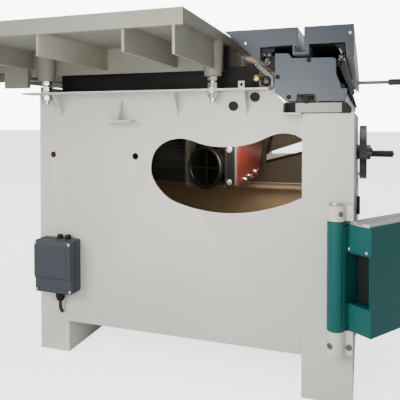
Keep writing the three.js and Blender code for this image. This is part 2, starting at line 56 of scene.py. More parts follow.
# ------------------------------------------------------------------ materials
def material(name, col, rough, metal=0.0, var=0.06, vscale=6.0, bump=0.05, bscale=600.0, dist=0.0004,
             wear=None, wear_at=0.56, stretch=None, grime=None, coat=0.0, rvar=0.12, spec=None):
    m = bpy.data.materials.new(name)
    m.use_nodes = True
    nt = m.node_tree
    nt.nodes.clear()
    out = nt.nodes.new("ShaderNodeOutputMaterial")
    b = nt.nodes.new("ShaderNodeBsdfPrincipled")
    nt.links.new(b.outputs[0], out.inputs[0])
    tc = nt.nodes.new("ShaderNodeTexCoord")
    mp = nt.nodes.new("ShaderNodeMapping")
    nt.links.new(tc.outputs["Object"], mp.inputs[0])
    if stretch:
        mp.inputs["Scale"].default_value = stretch
    n1 = nt.nodes.new("ShaderNodeTexNoise")
    n1.inputs["Scale"].default_value = vscale
    n1.inputs["Detail"].default_value = 6
    nt.links.new(tc.outputs["Object"], n1.inputs["Vector"])
    ramp = nt.nodes.new("ShaderNodeValToRGB")
    ramp.color_ramp.elements[0].position = 0.3
    ramp.color_ramp.elements[1].position = 0.7
    ramp.color_ramp.elements[0].color = (*[max(0, c * (1 - var)) for c in col], 1)
    ramp.color_ramp.elements[1].color = (*[min(1, c * (1 + var)) for c in col], 1)
    nt.links.new(n1.outputs["Fac"], ramp.inputs[0])
    last = ramp.outputs[0]
    if grime:  # darker film in patches
        g = nt.nodes.new("ShaderNodeTexNoise")
        g.inputs["Scale"].default_value = 14
        g.inputs["Detail"].default_value = 8
        nt.links.new(tc.outputs["Object"], g.inputs["Vector"])
        gr = nt.nodes.new("ShaderNodeValToRGB")
        gr.color_ramp.elements[0].position = 0.58
        gr.color_ramp.elements[1].position = 0.8
        gr.color_ramp.elements[0].color = (0, 0, 0, 1)
        gr.color_ramp.elements[1].color = (0.45, 0.45, 0.45, 1)
        nt.links.new(g.outputs["Fac"], gr.inputs[0])
        mx = nt.nodes.new("ShaderNodeMix")
        mx.data_type = "RGBA"
        nt.links.new(gr.outputs[0], mx.inputs["Factor"])
        nt.links.new(last, mx.inputs["A"])
        mx.inputs["B"].default_value = (*grime, 1)
        last = mx.outputs["Result"]
    if wear:
        geo = nt.nodes.new("ShaderNodeNewGeometry")
        wr = nt.nodes.new("ShaderNodeValToRGB")
        wr.color_ramp.elements[0].position = wear_at
        wr.color_ramp.elements[1].position = wear_at + 0.12
        wr.color_ramp.elements[0].color = (0, 0, 0, 1)
        wr.color_ramp.elements[1].color = (0.8, 0.8, 0.8, 1)
        nt.links.new(geo.outputs["Pointiness"], wr.inputs[0])
        mx = nt.nodes.new("ShaderNodeMix")
        mx.data_type = "RGBA"
        nt.links.new(wr.outputs[0], mx.inputs["Factor"])
        nt.links.new(last, mx.inputs["A"])
        mx.inputs["B"].default_value = (*wear, 1)
        last = mx.outputs["Result"]
    nt.links.new(last, b.inputs["Base Color"])
    b.inputs["Metallic"].default_value = metal
    if coat:
        b.inputs["Coat Weight"].default_value = coat
        b.inputs["Coat Roughness"].default_value = 0.2
    if spec is not None:
        b.inputs["Specular IOR Level"].default_value = spec
    n2 = nt.nodes.new("ShaderNodeTexNoise")
    n2.inputs["Scale"].default_value = bscale
    n2.inputs["Detail"].default_value = 3
    nt.links.new(mp.outputs[0], n2.inputs["Vector"])
    rr = nt.nodes.new("ShaderNodeMapRange")
    rr.inputs["To Min"].default_value = max(0.05, rough - rvar)
    rr.inputs["To Max"].default_value = min(1.0, rough + rvar)
    nt.links.new(n1.outputs["Fac"], rr.inputs["Value"])
    nt.links.new(rr.outputs[0], b.inputs["Roughness"])
    bp = nt.nodes.new("ShaderNodeBump")
    bp.inputs["Strength"].default_value = bump
    bp.inputs["Distance"].default_value = dist
    nt.links.new(n2.outputs["Fac"], bp.inputs["Height"])
    nt.links.new(bp.outputs[0], b.inputs["Normal"])
    return m


PANEL = material("paint_light_grey", (0.50, 0.495, 0.455), 0.42, var=0.035, vscale=3, bump=0.25, bscale=420, dist=0.0003, wear=(0.70, 0.69, 0.65), wear_at=0.58, coat=0.15)
CAST = material("cast_painted", (0.205, 0.205, 0.170), 0.60, var=0.09, vscale=9, bump=0.6, bscale=190, dist=0.0012, wear=(0.40, 0.40, 0.35), wear_at=0.57, grime=(0.13, 0.13, 0.11))
MACHINED = material("machined_iron", (0.42, 0.43, 0.44), 0.30, metal=0.9, var=0.07, bump=0.35, bscale=90, dist=0.0003, stretch=(1, 14, 1))
SLATE = material("slate_cap", (0.042, 0.053, 0.071), 0.40, metal=0.15, var=0.05, bump=0.2, bscale=500, wear=(0.62, 0.66, 0.70), wear_at=0.57)
SLATE_D = material("slate_dark", (0.036, 0.046, 0.060), 0.42, metal=0.2, var=0.05, bump=0.2, bscale=500, wear=(0.55, 0.58, 0.62), wear_at=0.57)
ALU = material("anodised_aluminium", (0.66, 0.68, 0.71), 0.34, metal=0.85, var=0.04, bump=0.3, bscale=120, dist=0.0002, stretch=(30, 1, 30))
WHITE = material("bright_vee", (0.82, 0.83, 0.84), 0.42, metal=0.15, var=0.03, bump=0.1, bscale=200)
TEAL = material("teal_paint", (0.0035, 0.072, 0.069), 0.46, var=0.06, vscale=4, bump=0.25, bscale=380, dist=0.0003, wear=(0.015, 0.15, 0.145), wear_at=0.58, coat=0.0, spec=0.22)
BLACK = material("black_plastic", (0.007, 0.0075, 0.008), 0.52, var=0.2, bump=0.4, bscale=900, dist=0.0002, wear=(0.035, 0.035, 0.037), wear_at=0.58, spec=0.18)
GLOSS = material("black_moulded", (0.012, 0.013, 0.012), 0.30, var=0.2, bump=0.15, bscale=500, dist=0.0002, coat=0.15, spec=0.4)
STARTER = material("starter_plastic", (0.020, 0.026, 0.035), 0.48, var=0.08, bump=0.5, bscale=1100, dist=0.0002, wear=(0.08, 0.10, 0.13), wear_at=0.58)
RED = material("red_paint", (0.19, 0.026, 0.013), 0.42, var=0.08, vscale=8, bump=0.25, bscale=400, wear=(0.40, 0.09, 0.05), wear_at=0.58, coat=0.1)
STEEL = material("zinc_steel", (0.62, 0.63, 0.64), 0.26, metal=1.0, var=0.08, vscale=30, bump=0.2, bscale=700, dist=0.0002)
GROUND = material("ground_steel", (0.55, 0.56, 0.58), 0.24, metal=1.0, var=0.05, bump=0.25, bscale=160, dist=0.0002, stretch=(1, 1, 12))
DARKS = material("dark_iron", (0.10, 0.105, 0.11), 0.40, metal=0.5, var=0.15, bump=0.35, bscale=260, wear=(0.34, 0.35, 0.36), wear_at=0.56)
WHEELM = material("handwheel_cast", (0.115, 0.125, 0.125), 0.30, metal=0.75, var=0.08, bump=0.2, bscale=300, wear=(0.40, 0.42, 0.42), wear_at=0.56)
RUBBER = material("rubber", (0.012, 0.012, 0.012), 0.75, var=0.2, bump=0.4, bscale=500)
# interior tan: beige primer colour darkened and warmed with painted shade
TAN_AND_SHADE = material("interior_primer_and_warm_shade", (0.37, 0.275, 0.17), 0.62, var=0.14, vscale=5, bump=0.3, bscale=220, grime=(0.20, 0.13, 0.075))
# dark copy of the interior tan: painted shade on the front inner wall
TAN_SHADE = material("interior_primer_painted_shade", (0.062, 0.048, 0.034), 0.66, var=0.18, vscale=6, bump=0.3, bscale=220, grime=(0.035, 0.028, 0.020))
CAST_D = material("cast_shaded", (0.085, 0.086, 0.070), 0.60, var=0.12, vscale=9, bump=0.6, bscale=190, dist=0.0012, wear=(0.24, 0.24, 0.20), wear_at=0.57, grime=(0.05, 0.05, 0.04))
CLAMPM = material("clamp_steel", (0.20, 0.20, 0.185), 0.45, metal=0.5, var=0.12, bump=0.3, bscale=240, wear=(0.45, 0.45, 0.42), wear_at=0.57)
MOTORM = material("motor_black", (0.048, 0.049, 0.046), 0.38, metal=0.2, var=0.2, bump=0.4, bscale=300, wear=(0.20, 0.19, 0.18), wear_at=0.57)
GREEN = material("green_button", (0.02, 0.20, 0.045), 0.25, var=0.05, coat=0.4)
REDB = material("red_button", (0.42, 0.012, 0.012), 0.25, var=0.05, coat=0.4)
BRASS = material("brass", (0.50, 0.38, 0.16), 0.35, metal=1.0, var=0.1)



def machined_top(name):
    """painted casting whose working face is ground bare; the face is found by its height"""
    m = material(name, (0.205, 0.205, 0.170), 0.60, var=0.09, vscale=9, bump=0.6, bscale=190, dist=0.0012, wear=(0.40, 0.40, 0.35), wear_at=0.57, grime=(0.13, 0.13, 0.11))
    nt = m.node_tree
    b = next(n for n in nt.nodes if n.type == "BSDF_PRINCIPLED")
    geo = nt.nodes.new("ShaderNodeNewGeometry")
    sep = nt.nodes.new("ShaderNodeSeparateXYZ")
    nt.links.new(geo.outputs["Position"], sep.inputs[0])

    def mask(lo, hi):
        r = nt.nodes.new("ShaderNodeMapRange")
        r.inputs["From Min"].default_value = 0.8688
        r.inputs["From Max"].default_value = 0.8696
        r.inputs["To Min"].default_value = lo
        r.inputs["To Max"].default_value = hi
        nt.links.new(sep.outputs["Z"], r.inputs["Value"])
        return r.outputs[0]

    lines = nt.nodes.new("ShaderNodeTexNoise")
    lines.inputs["Scale"].default_value = 60
    lines.inputs["Detail"].default_value = 4
    tc = nt.nodes.new("ShaderNodeTexCoord")
    mp = nt.nodes.new("ShaderNodeMapping")
    mp.inputs["Scale"].default_value = (12, 0.4, 1)
    nt.links.new(tc.outputs["Object"], mp.inputs[0])
    nt.links.new(mp.outputs[0], lines.inputs["Vector"])
    ramp = nt.nodes.new("ShaderNodeValToRGB")
    ramp.color_ramp.elements[0].color = (0.33, 0.335, 0.34, 1)
    ramp.color_ramp.elements[1].color = (0.52, 0.53, 0.54, 1)
    nt.links.new(lines.outputs["Fac"], ramp.inputs[0])
    mx = nt.nodes.new("ShaderNodeMix")
    mx.data_type = "RGBA"
    old = b.inputs["Base Color"].links[0].from_socket
    nt.links.new(mask(0, 1), mx.inputs["Factor"])
    nt.links.new(old, mx.inputs["A"])
    nt.links.new(ramp.outputs[0], mx.inputs["B"])
    nt.links.new(mx.outputs["Result"], b.inputs["Base Color"])
    nt.links.new(mask(0, 0.85), b.inputs["Metallic"])
    rold = b.inputs["Roughness"].links[0].from_socket
    sub = nt.nodes.new("ShaderNodeMath")
    sub.operation = "SUBTRACT"
    nt.links.new(rold, sub.inputs[0])
    nt.links.new(mask(0, 0.26), sub.inputs[1])
    nt.links.new(sub.outputs[0], b.inputs["Roughness"])
    bump = next(n for n in nt.nodes if n.type == "BUMP")
    nt.links.new(mask(0.6, 0.06), bump.inputs["Strength"])
    return m


CAST_TOP = machined_top("cast_machined_top")
LOOK = {}
for names, mt, w in (
    ("cabinet_shell rear_panel access_cover", PANEL, 0.9), ("rail_column front_column", PANEL, 3.2), ("rail_bracket_rear", CLAMPM, 1.6),
    ("arm_bracket_upper arm_bracket_lower", PANEL, 2.2), ("main_table extension_wing", CAST_TOP, 2.6),
    ("trunnion_rear trunnion_front trunnion_bracket_rear trunnion_bracket_front tilt_frame scoring_housing arbor_housing", CAST, 1.6), ("lift_carriage", CAST_D, 1.6),
    ("rail_cap_rear rail_cap_front", SLATE, 1.4), ("table_cap_rear table_cap_front", SLATE_D, 1.0),
    ("base_rail sliding_table table_insert arm_top_rail", ALU, 0.8), ("swing_arm", TEAL, 1.2), ("inner_arm", DARKS, 2.0),
    ("starter_box_base", STARTER, 5.0), ("starter_box_cover", STARTER, 4.5), ("cable_gland", BLACK, 1.2), ("switch_box", BLACK, 0.8),
    ("cover_latch", GLOSS, 0.3), ("tilt_wheel_grip lift_wheel_grip lock_lever_grip", GLOSS, 2.5), ("dust_port", GLOSS, 1.2), ("rail_clamp_rear", BLACK, 1.0),
    ("motor_body", MOTORM, 2.5), ("blade_housing housing_cover", RED, 1.0), ("guide_rod_left guide_rod_right", GROUND, 0.8),
    ("table_stud_right table_stud_left hinge_pin", STEEL, 0.8), ("scoring_blade main_blade riving_knife", GROUND, 0.25), ("arbor_shaft", STEEL, 0.8), ("lock_lever", DARKS, 0.8),
    ("arbor_pulley motor_pulley knife_holder", DARKS, 1.0), ("tilt_handwheel lift_handwheel", WHEELM, 2.0), ("drive_belt", RUBBER, 0.8),
    ("start_button", GREEN, 1.0), ("stop_button", REDB, 2.5),
):
    for n in names.split():
        LOOK[n] = (mt, w)


def finish_mesh(o, width_mm, angle=28, segments=2, weld=True):
    for p in o.data.polygons:
        p.use_smooth = True
    if weld:
        w = o.modifiers.new("weld", "WELD")
        w.merge_threshold = 2e-5
    if width_mm:
        b = o.modifiers.new("bevel", "BEVEL")
        b.width = width_mm / 1000
        b.segments = segments
        b.limit_method = "ANGLE"
        b.angle_limit = math.radians(angle)
        b.use_clamp_overlap = True
        b.harden_normals = False
    wn = o.modifiers.new("weighted", "WEIGHTED_NORMAL")
    wn.weight = 100
    wn.keep_sharp = False


for name, o in N.items():
    mt, w = LOOK[name]
    if not o.material_slots:
        o.data.materials.append(mt)
    for s in o.material_slots:
        s.link = "OBJECT"
        s.material = mt
    finish_mesh(o, w)


# ------------------------------------------------------------------ piece tools
def obj_from(bm, name, mt, body, bevel=0.0, angle=28, segments=2):
    me = bpy.data.meshes.new(name)
    bmesh.ops.recalc_face_normals(bm, faces=bm.faces)
    bm.to_mesh(me)
    bm.free()
    o = bpy.data.objects.new(name, me)
    bpy.context.scene.collection.objects.link(o)
    o.data.materials.append(mt)
    finish_mesh(o, bevel, angle, segments, weld=False)
    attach(o, body)
    return o


def orient(loc, normal, spin=0.0):
    q = Vector((0, 0, 1)).rotation_difference(Vector(normal).normalized())
    return Matrix.Translation(loc) @ q.to_matrix().to_4x4() @ Matrix.Rotation(spin, 4, "Z")


def add_lathe(bm, prof, loc, normal, n=32, spin=0.0):
    """prof: (radius mm, height mm) from the axis and back to it."""
    m = orient(loc, normal, spin)
    rings = []
    for r, h in prof:
        if r == 0:
            rings.append([bm.verts.new(m @ Vector((0, 0, h / 1000)))])
        else:
            rings.append([bm.verts.new(m @ Vector((r / 1000 * math.cos(2 * math.pi * i / n), r / 1000 * math.sin(2 * math.pi * i / n), h / 1000))) for i in range(n)])
    for a, b in zip(rings, rings[1:]):
        for i in range(n):
            j = (i + 1) % n
            if len(a) == 1:
                bm.faces.new((a[0], b[i], b[j]))
            elif len(b) == 1:
                bm.faces.new((a[i], a[j], b[0]))
            else:
                bm.faces.new((a[i], a[j], b[j], b[i]))


def add_prism(bm, pts, a, b, plane):
    """closed outline in mm layout coordinates, swept from a to b along the plane's normal."""
    def at(u, v, w):
        return D(u, w, v) if plane == "y" else D(w, u, v) if plane == "x" else D(u, v, w)
    lo = [bm.verts.new(at(u, v, a)) for u, v in pts]
    hi = [bm.verts.new(at(u, v, b)) for u, v in pts]
    bm.faces.new(lo[::-1])
    bm.faces.new(hi)
    k = len(pts)
    for i in range(k):
        j = (i + 1) % k
        bm.faces.new((lo[i], lo[j], hi[j], hi[i]))


def add_box(bm, x0, x1, y0, y1, z0, z1):
    add_prism(bm, [(x0, z0), (x1, z0), (x1, z1), (x0, z1)], y0, y1, "y")


def cap_screw(bm, p, nrm, r=6.0, h=6.0, depth=3.2):
    """socket cap head with its hexagon recess"""
    n = 36
    m = orient(p, nrm)
    def ring(rad, z, hexa=False):
        vs = []
        for i in range(n):
            t = 2 * math.pi * i / n
            rr = rad
            if hexa:
                s = (t % (math.pi / 3)) - math.pi / 6
                rr = rad / math.cos(s)
            vs.append(bm.verts.new(m @ Vector((rr / 1000 * math.cos(t), rr / 1000 * math.sin(t), z / 1000))))
        return vs
    rows = [ring(r, 0), ring(r, h - 0.9), ring(r - 0.9, h), ring(r * 0.52, h, True), ring(r * 0.50, h - depth, True)]
    bm.faces.new(rows[0][::-1])
    for a, b in zip(rows, rows[1:]):
        for i in range(n):
            j = (i + 1) % n
            bm.faces.new((a[i], a[j], b[j], b[i]))
    bm.faces.new(rows[-1])


def hex_bolt(bm, p, nrm, r=8.0, h=6.0, washer=True, spin=0.2):
    base = 0.0
    if washer:
        add_lathe(bm, [(0, 0), (r * 1.5, 0), (r * 1.5, 1.2), (r * 1.45, 1.6), (0, 1.6)], p, nrm, 28)
        base = 1.4
    m = orient(p, nrm, spin)
    rows = []
    for rad, z in ((r, base), (r, h - 0.8 + base), (r * 0.88, h + base)):
        rows.append([bm.verts.new(m @ Vector((rad / 1000 * math.cos(math.pi / 3 * i), rad / 1000 * math.sin(math.pi / 3 * i), z / 1000))) for i in range(6)])
    bm.faces.new(rows[0][::-1])
    for a, b in zip(rows, rows[1:]):
        for i in range(6):
            j = (i + 1) % 6
            bm.faces.new((a[i], a[j], b[j], b[i]))
    bm.faces.new(rows[-1])


def cross_screw(bm, p, nrm, r=5.0, h=2.4):
    """domed head with a cross recess cut as four lobes"""
    n = 40
    m = orient(p, nrm)
    def ring(f, z):
        vs = []
        for i in range(n):
            t = 2 * math.pi * i / n
            vs.append(bm.verts.new(m @ Vector((f(t) / 1000 * math.cos(t), f(t) / 1000 * math.sin(t), z / 1000))))
        return vs
    cross = lambda t: r * (0.18 + 0.42 * max(0.0, math.cos(4 * t)) ** 2)
    rows = [ring(lambda t: r, 0), ring(lambda t: r, h * 0.35), ring(lambda t: r * 0.86, h * 0.8), ring(lambda t: r * 0.66, h), ring(cross, h), ring(lambda t: cross(t) * 0.8, h * 0.25)]
    bm.faces.new(rows[0][::-1])
    for a, b in zip(rows, rows[1:]):
        for i in range(n):
            j = (i + 1) % n
            bm.faces.new((a[i], a[j], b[j], b[i]))
    bm.faces.new(rows[-1])


def tube(name, pts, r, mt, body, res=14):
    """round tube along a smooth path, closed at both ends, as a mesh"""
    P = [D(*p) for p in pts]
    path = []
    ext = [P[0] * 2 - P[1], *P, P[-1] * 2 - P[-2]]
    for i in range(1, len(ext) - 2):
        a, b, c, d = ext[i - 1:i + 3]
        for k in range(10):
            t = k / 10
            path.append(0.5 * ((2 * b) + (c - a) * t + (2 * a - 5 * b + 4 * c - d) * t * t + (3 * b - a - 3 * c + d) * t ** 3))
    path.append(P[-1])
    bm = bmesh.new()
    prev, up = None, Vector((0, 0, 1))
    rings = []
    for i, p in enumerate(path):
        d = (path[min(i + 1, len(path) - 1)] - path[max(i - 1, 0)]).normalized()
        s = d.cross(up)
        if s.length < 0.1:
            s = d.cross(Vector((1, 0, 0)))
        if prev is not None and s.dot(prev) < 0:
            s = -s
        s.normalize()
        prev = s
        u = s.cross(d).normalized()
        rings.append([bm.verts.new(p + (s * math.cos(2 * math.pi * k / res) + u * math.sin(2 * math.pi * k / res)) * r / 1000) for k in range(res)])
    for a, b in zip(rings, rings[1:]):
        for k in range(res):
            j = (k + 1) % res
            bm.faces.new((a[k], a[j], b[j], b[k]))
    bm.faces.new(rings[0][::-1])
    bm.faces.new(rings[-1])
    return obj_from(bm, name, mt, body, 0)


# ------------------------------------------------------------------ fasteners and small fittings
UP, BACK, RIGHT, DOWN = (0, 0, 1), (0, -1, 0), (1, 0, 0), (0, 0, -1)
bm = bmesh.new()
for x in (-411, -305):
    for z in (317, 187):
        cross_screw(bm, D(x, -426.2 if z < 200 else -430.6, z), BACK, 4.2, 2.2)
obj_from(bm, "starter_cover_screws", STEEL, "frame", 0)

bm = bmesh.new()
add_prism(bm, [(-402, 232), (-314, 232), (-314, 300), (-402, 300)], -433.4, -431.6, "y")
obj_from(bm, "starter_cover_panel", STARTER, "frame", 1.2, segments=3)
bm = bmesh.new()
for x in (-357, -331):
    add_lathe(bm, [(0, 0), (9, 0), (9, 4), (7.5, 5), (7.5, 9), (5, 11), (0, 11)], D(x, -393, 325.0), UP, 24)
obj_from(bm, "starter_blanking_plugs", BLACK, "frame", 0)
tube("supply_cable", [(-357, -393, 154), (-357, -393, 138), (-357, -391, 124), (-356, -384.5, 114)], 4.6, RUBBER, "frame")

bm = bmesh.new()
cap_screw(bm, D(141, -380.1, 689.5), BACK, 12, 5, 3)
cap_screw(bm, D(196, -380.1, 711), BACK, 12, 5, 3)
obj_from(bm, "panel_plugs", BLACK, "frame", 0)

bm = bmesh.new()
for x, z in ((328.8, 793.0), (256.7, 755.9), (404.5, 731), (283, 708)):
    cap_screw(bm, D(x, -411.1, z), BACK, 5.5, 1.2, 1.0)
obj_from(bm, "rail_cap_screws", BLACK, "frame", 0)
bm = bmesh.new()
for x, z in ((180.4, 838), (421, 850)):
    cross_screw(bm, D(x, -417.1, z), BACK, 4.2, 2)
obj_from(bm, "table_cap_screws", STEEL, "slide_table", 0)

# clamp that holds the rail to its column: stepped clamp, stud and nut
bm = bmesh.new()
add_prism(bm, [(303, 697), (306, 699.4), (312, 699.4), (312, 703), (335, 703), (335, 699.4), (343, 699.4), (345, 695), (303, 694.3)], -412.5, -404, "y")
hex_bolt(bm, D(323, -413, 700), BACK, 5.5, 4)
obj_from(bm, "rail_clamp_front_piece", BLACK, "frame", 0.6)
bm = bmesh.new()
for x in (352, 378, 396):
    hex_bolt(bm, D(x, -388, 694.1), UP, 5, 2.4, washer=False)
obj_from(bm, "rail_bracket_bolts", DARKS, "frame", 0)
bm = bmesh.new()
add_prism(bm, [(404.2, 670.4), (424, 670.4), (424, 682), (414, 694), (404.2, 694)], -414.5, -405.2, "y")
obj_from(bm, "bracket_end_cap", BLACK, "frame", 1.2)

# angled stop bracket and knob between the saw unit and the rail
bm = bmesh.new()
add_prism(bm, [(205, 786), (212, 790), (246, 758), (247, 732), (240, 732), (239, 752), (205, 780)], -409, -392, "y")
obj_from(bm, "stop_bracket", DARKS, "frame", 0.8)
bm = bmesh.new()
add_lathe(bm, [(0, 0), (7, 0), (7, 5), (12, 7), (13, 10), (13, 16), (11, 19), (5, 20.5), (0, 20.5)], D(229, -392, 748), BACK, 28)
obj_from(bm, "stop_knob", GLOSS, "frame", 0)
bm = bmesh.new()
add_lathe(bm, [(0, 0), (9, 0), (9, 9), (6, 11), (0, 11)], D(207, -410, 754), BACK, 22)
add_lathe(bm, [(0, 0), (5, 0), (5, 20), (0, 20)], D(207, -392, 754), BACK, 18)
obj_from(bm, "stop_stud", BRASS, "frame", 0)

# wiper strips beside the rail and the vee faces the rods run in
bm = bmesh.new()
add_prism(bm, [(396, 790), (399.5, 790), (424, 712), (421.5, 711)], -404, 880, "y")
obj_from(bm, "wiper_strip_outer", RUBBER, "frame", 0.3)
bm = bmesh.new()
add_prism(bm, [(393.5, 784), (395.4, 784.6), (418.5, 727), (416.9, 726.3)], -404, 880, "y")
obj_from(bm, "wiper_strip_inner", BLACK, "frame", 0.2)
bm = bmesh.new()
for s in (((216.4, 825), (222, 812.6), (226.5, 806.6), (216.4, 800.5)), ((216.4, 825.2), (249, 825.6), (249, 815), (238, 813), (232, 806.6), (222.4, 812.9))):
    add_prism(bm, list(s), -411, 889, "y")
obj_from(bm, "table_vee_left", BLACK, "slide_table", 0.3)
bm = bmesh.new()
add_prism(bm, [(409.6, 828), (409.8, 806), (403, 806.8), (396, 817), (384, 828)], -411, 889, "y")
obj_from(bm, "table_vee_right", BLACK, "slide_table", 0.3)
bm = bmesh.new()
add_prism(bm, [(249.9, 808), (249.9, 776), (241.5, 776), (236, 786.5), (239.2, 797), (243, 806)], -404, 880, "y")
add_prism(bm, [(236, 786.3), (241.3, 776), (232, 781), (222, 789)], -404, 880, "y")
obj_from(bm, "rail_vee_left", BLACK, "frame", 0.3)
bm = bmesh.new()
add_prism(bm, [(391, 792.8), (391, 776), (400, 778), (410, 789.2), (399, 789.6), (394.6, 794)], -404, 880, "y")
obj_from(bm, "rail_vee_right", BLACK, "frame", 0.3)



def face_strip(bm, p, q, t=1.8, out=0.35):
    """narrow bright strip lying along the line p-q of a section, swept along the guide"""
    dx, dz = q[0] - p[0], q[1] - p[1]
    k = math.hypot(dx, dz)
    nx, nz = -dz / k, dx / k
    return [(p[0] - nx * out, p[1] - nz * out), (q[0] - nx * out, q[1] - nz * out), (q[0] + nx * t, q[1] + nz * t), (p[0] + nx * t, p[1] + nz * t)]


bm = bmesh.new()
for a, b in (((222.6, 811.8), (226.3, 806.9)), ((237.6, 812.6), (232.2, 806.9)), ((396.6, 816), (402.6, 807.4))):
    add_prism(bm, face_strip(bm, a, b), -411.2, 889.2, "y")
obj_from(bm, "table_vee_faces", WHITE, "slide_table", 0.0)
bm = bmesh.new()
for a, b in (((236.6, 788), (239, 796)), ((224, 788.4), (235, 786.2)), ((395.2, 793.2), (398.8, 789.9))):
    add_prism(bm, face_strip(bm, a, b), -404.2, 880.2, "y")
obj_from(bm, "rail_vee_faces", WHITE, "frame", 0.0)
# black strips under the slider's roof are painted shade that keeps the long cavity dark
bm = bmesh.new()
add_box(bm, 218, 291, -411, 889, 824.3, 825.8)
add_box(bm, 331, 409, -411, 889, 827.2, 828.8)
obj_from(bm, "slider_cavity_shade_sheet", BLACK, "slide_table", 0)

# diamond rod holders at both ends of the guide rods, with the rod's centre showing
bm = bmesh.new()
for x in (230.5, 402):
    for y0, y1 in ((-408.4, -404.2), (882.2, 886.4)):
        add_prism(bm, [(x - 8, 797), (x, 789), (x + 8, 797), (x, 805)], y0, y1, "y")
obj_from(bm, "rod_holders", BLACK, "frame", 0.5)
bm = bmesh.new()
for x in (230.5, 402):
    add_lathe(bm, [(0, 0), (3.4, 0), (3.4, 0.9), (2.8, 1.2), (0, 1.2)], D(x, -408.3, 797), BACK, 20)
obj_from(bm, "rod_centres", DARKS, "frame", 0)

# black sheet between the panel flange and the table, painted shade for the dark gap there
bm = bmesh.new()
add_box(bm, -380, 120, -345, -343, 735, 846)
add_box(bm, 119.9, 198, -345, -343, 735, 792)
obj_from(bm, "table_gap_shade_sheet", BLACK, "frame", 0.3)

# swing arm: window bead, screws, bracket set screws
def arm(x, y, z):  # across the arm, along the arm, up
    return D(393 + 0.8 * x + 0.6 * y, -447 - 0.6 * x + 0.8 * y, z)


ARM_BACK = (-0.6, -0.8, 0)
bm = bmesh.new()
for x in (20, 66.4):
    cross_screw(bm, arm(x, 19.9, 368.5), ARM_BACK, 4.2, 2.4)
obj_from(bm, "arm_end_screws", STEEL, "swing_arm", 0)
bm = bmesh.new()
def frame_bead(bm, x0, x1, z0, z1, y0, y1, t):
    outer = [(x0, z0), (x1, z0), (x1, z1), (x0, z1)]
    inner = [(x0 + t, z0 + t), (x1 - t, z0 + t), (x1 - t, z1 - t), (x0 + t, z1 - t)]
    V = {}
    for tag, ring in (("o", outer), ("i", inner)):
        for yy in (y0, y1):
            V[tag, yy] = [bm.verts.new(arm(u, yy, v)) for u, v in ring]
    for i in range(4):
        j = (i + 1) % 4
        bm.faces.new((V["o", y0][i], V["o", y0][j], V["o", y1][j], V["o", y1][i]))
        bm.faces.new((V["i", y0][i], V["i", y1][i], V["i", y1][j], V["i", y0][j]))
        bm.faces.new((V["o", y0][i], V["i", y0][i], V["i", y0][j], V["o", y0][j]))
        bm.faces.new((V["o", y1][i], V["o", y1][j], V["i", y1][j], V["i", y1][i]))
frame_bead(bm, 14.2, 76.4, 246.4, 362.6, 17.2, 20.6, 1.7)
obj_from(bm, "arm_window_bead", TEAL, "swing_arm", 0.6)
bm = bmesh.new()
lo = [bm.verts.new(arm(u, 41.4, v)) for u, v in ((27.4, 250.4), (69.6, 250.4), (69.6, 365.6), (27.4, 365.6))]
hi = [bm.verts.new(arm(u, 43.8, v)) for u, v in ((27.4, 250.4), (69.6, 250.4), (69.6, 365.6), (27.4, 365.6))]
bm.faces.new(lo)
bm.faces.new(hi[::-1])
for i in range(4):
    bm.faces.new((lo[i], hi[i], hi[(i + 1) % 4], lo[(i + 1) % 4]))
obj_from(bm, "inner_arm_end_plate", BLACK, "inner_arm", 0.5)
bm = bmesh.new()
cap_screw(bm, D(403.4, -462.8, 447.6), (0.55, -0.835, 0), 6, 3.0, 2.0)
cap_screw(bm, D(382.6, -462.8, 155), (-0.55, -0.835, 0), 7, 3.2, 2.0)
cap_screw(bm, D(422, -446.8, 150), BACK, 7, 1.8, 1.4)
obj_from(bm, "bracket_set_screws", DARKS, "frame", 0)
# wing nuts on the blade cover: hub and two swept wings
def wing_nut(bm, p, nrm, spin):
    add_lathe(bm, [(0, 0), (8, 0), (8.5, 2), (6.5, 6), (5, 11), (2.8, 11.6), (0, 11.6)], p, nrm, 24)
    m = orient(p, nrm, spin)
    for s in (-1, 1):
        prof = [(3, 3), (13, 9), (15.5, 15), (12.5, 17), (8, 12.5), (3.5, 9)]
        lo = [bm.verts.new(m @ Vector((s * u / 1000, -0.0016, v / 1000))) for u, v in prof]
        hi = [bm.verts.new(m @ Vector((s * u / 1000, 0.0016, v / 1000))) for u, v in prof]
        bm.faces.new(lo)
        bm.faces.new(hi[::-1])
        for i in range(len(prof)):
            j = (i + 1) % len(prof)
            bm.faces.new((lo[i], hi[i], hi[j], lo[j]))


bm = bmesh.new()
for y, z, s in ((-45, 468, 0.4), (20, 473, 1.2), (104, 481, 2.0)):
    wing_nut(bm, D(87.7, y, z), RIGHT, s)
obj_from(bm, "cover_wing_nuts", STEEL, "lift_unit", 0.5)
bm = bmesh.new()
for y, z in ((-150, 740), (60, 745), (285, 740), (-150, 656), (285, 622)):
    hex_bolt(bm, D(87.7, y, z), RIGHT, 5, 3.2)
obj_from(bm, "cover_bolts", STEEL, "lift_unit", 0)
bm = bmesh.new()
for y in (-75, 15):
    for z in (449, 561):
        hex_bolt(bm, D(41.3, y, z), (-1, 0, 0), 6, 5)
obj_from(bm, "dust_flange_bolts", STEEL, "lift_unit", 0.3)
bm = bmesh.new()
q = Vector((-0.41, -0.912, 0)).normalized()
mouth = D(3, -33, 505)
add_lathe(bm, [(57.3, 60), (67.5, 60), (68.5, 62), (68.5, 68), (67.2, 72), (63, 73.5), (57.3, 72.3), (57.3, 60)], mouth, q, 64)
for h in (44, 52):
    add_lathe(bm, [(59.8, h - 1.6), (62.4, h), (59.8, h + 1.6), (59.8, h - 1.6)], mouth, q, 56)
bmesh.ops.remove_doubles(bm, verts=bm.verts, dist=1e-6)
obj_from(bm, "dust_mouth_rings", GLOSS, "lift_unit", 0)
bm = bmesh.new()
